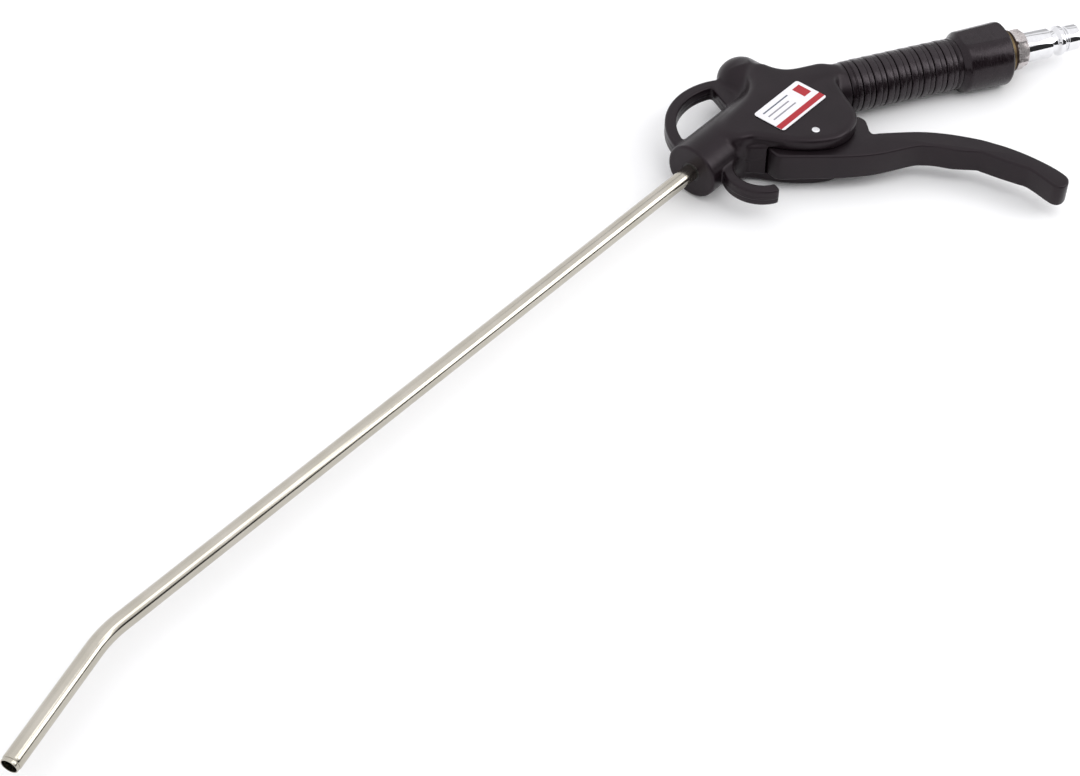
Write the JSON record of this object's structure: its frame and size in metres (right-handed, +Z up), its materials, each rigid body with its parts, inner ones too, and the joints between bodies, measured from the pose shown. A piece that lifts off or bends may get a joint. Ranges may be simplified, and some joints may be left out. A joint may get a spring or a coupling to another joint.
{
  "type": "pneumatic air duster",
  "caption": "Hand-held air blow gun with a long bent nozzle tube, a lever under a ribbed grip, a hanging loop, a hook and a plug-in air inlet, lying on its side.",
  "frame": {"origin": "on the lower cheek's flat face, under the point where the nozzle, valve and grip axes cross", "axes": "+X along the nozzle tube towards the grip, +Y along the valve axis towards the dome, +Z up, out of the upper cheek"},
  "size_m": [0.5001, 0.1401, 0.0228],
  "materials": {
    "casting": "satin charcoal coat",
    "lever": "satin charcoal coat",
    "steel": "polished",
    "tube": "drawn stainless",
    "socket": "matt",
    "brass": "machined",
    "chrome": "polished",
    "grip_rubber": "moulded, slightly glossy",
    "seal_rubber": "smooth",
    "washer_plastic": "matt",
    "label": "printed film"
  },
  "bodies": {
    "gun": {"body_casting": "casting", "pivot_pin": "steel", "nozzle_socket": "socket", "nozzle_tube": "tube", "nozzle_oring": "seal_rubber", "valve_cage": "brass", "cage_oring_upper": "seal_rubber", "cage_oring_lower": "seal_rubber", "valve_spring": "steel", "stem_oring": "seal_rubber", "stem_washer": "washer_plastic", "gland_nut": "brass", "grip_sleeve": "grip_rubber", "inlet_bush": "brass", "plug_washer": "brass", "air_plug": "chrome", "label_plate": "label"},
    "lever": {"lever": "lever"},
    "valve": {"valve_stem": "steel", "valve_poppet": "brass", "poppet_seal": "seal_rubber"}
  },
  "joints": [
    {"name": "lever_hinge", "type": "hinge", "parent": "gun", "child": "lever", "pos_m": [-0.0152, -0.0273, 0.0113], "axis": [0, 0, 1], "range_deg": [0, 12], "stiffness_Nm_per_rad": 1.5, "springref_deg": -17.19},
    {"name": "valve_slide", "type": "slide", "parent": "gun", "child": "valve", "axis": [0, 1, 0], "range_m": [0, 0.0032], "deforming": ["valve_spring"]}
  ],
  "couplings": [
    {"joint": "valve_slide", "follows": "lever_hinge", "m_per_rad": 0.0152}
  ]
}
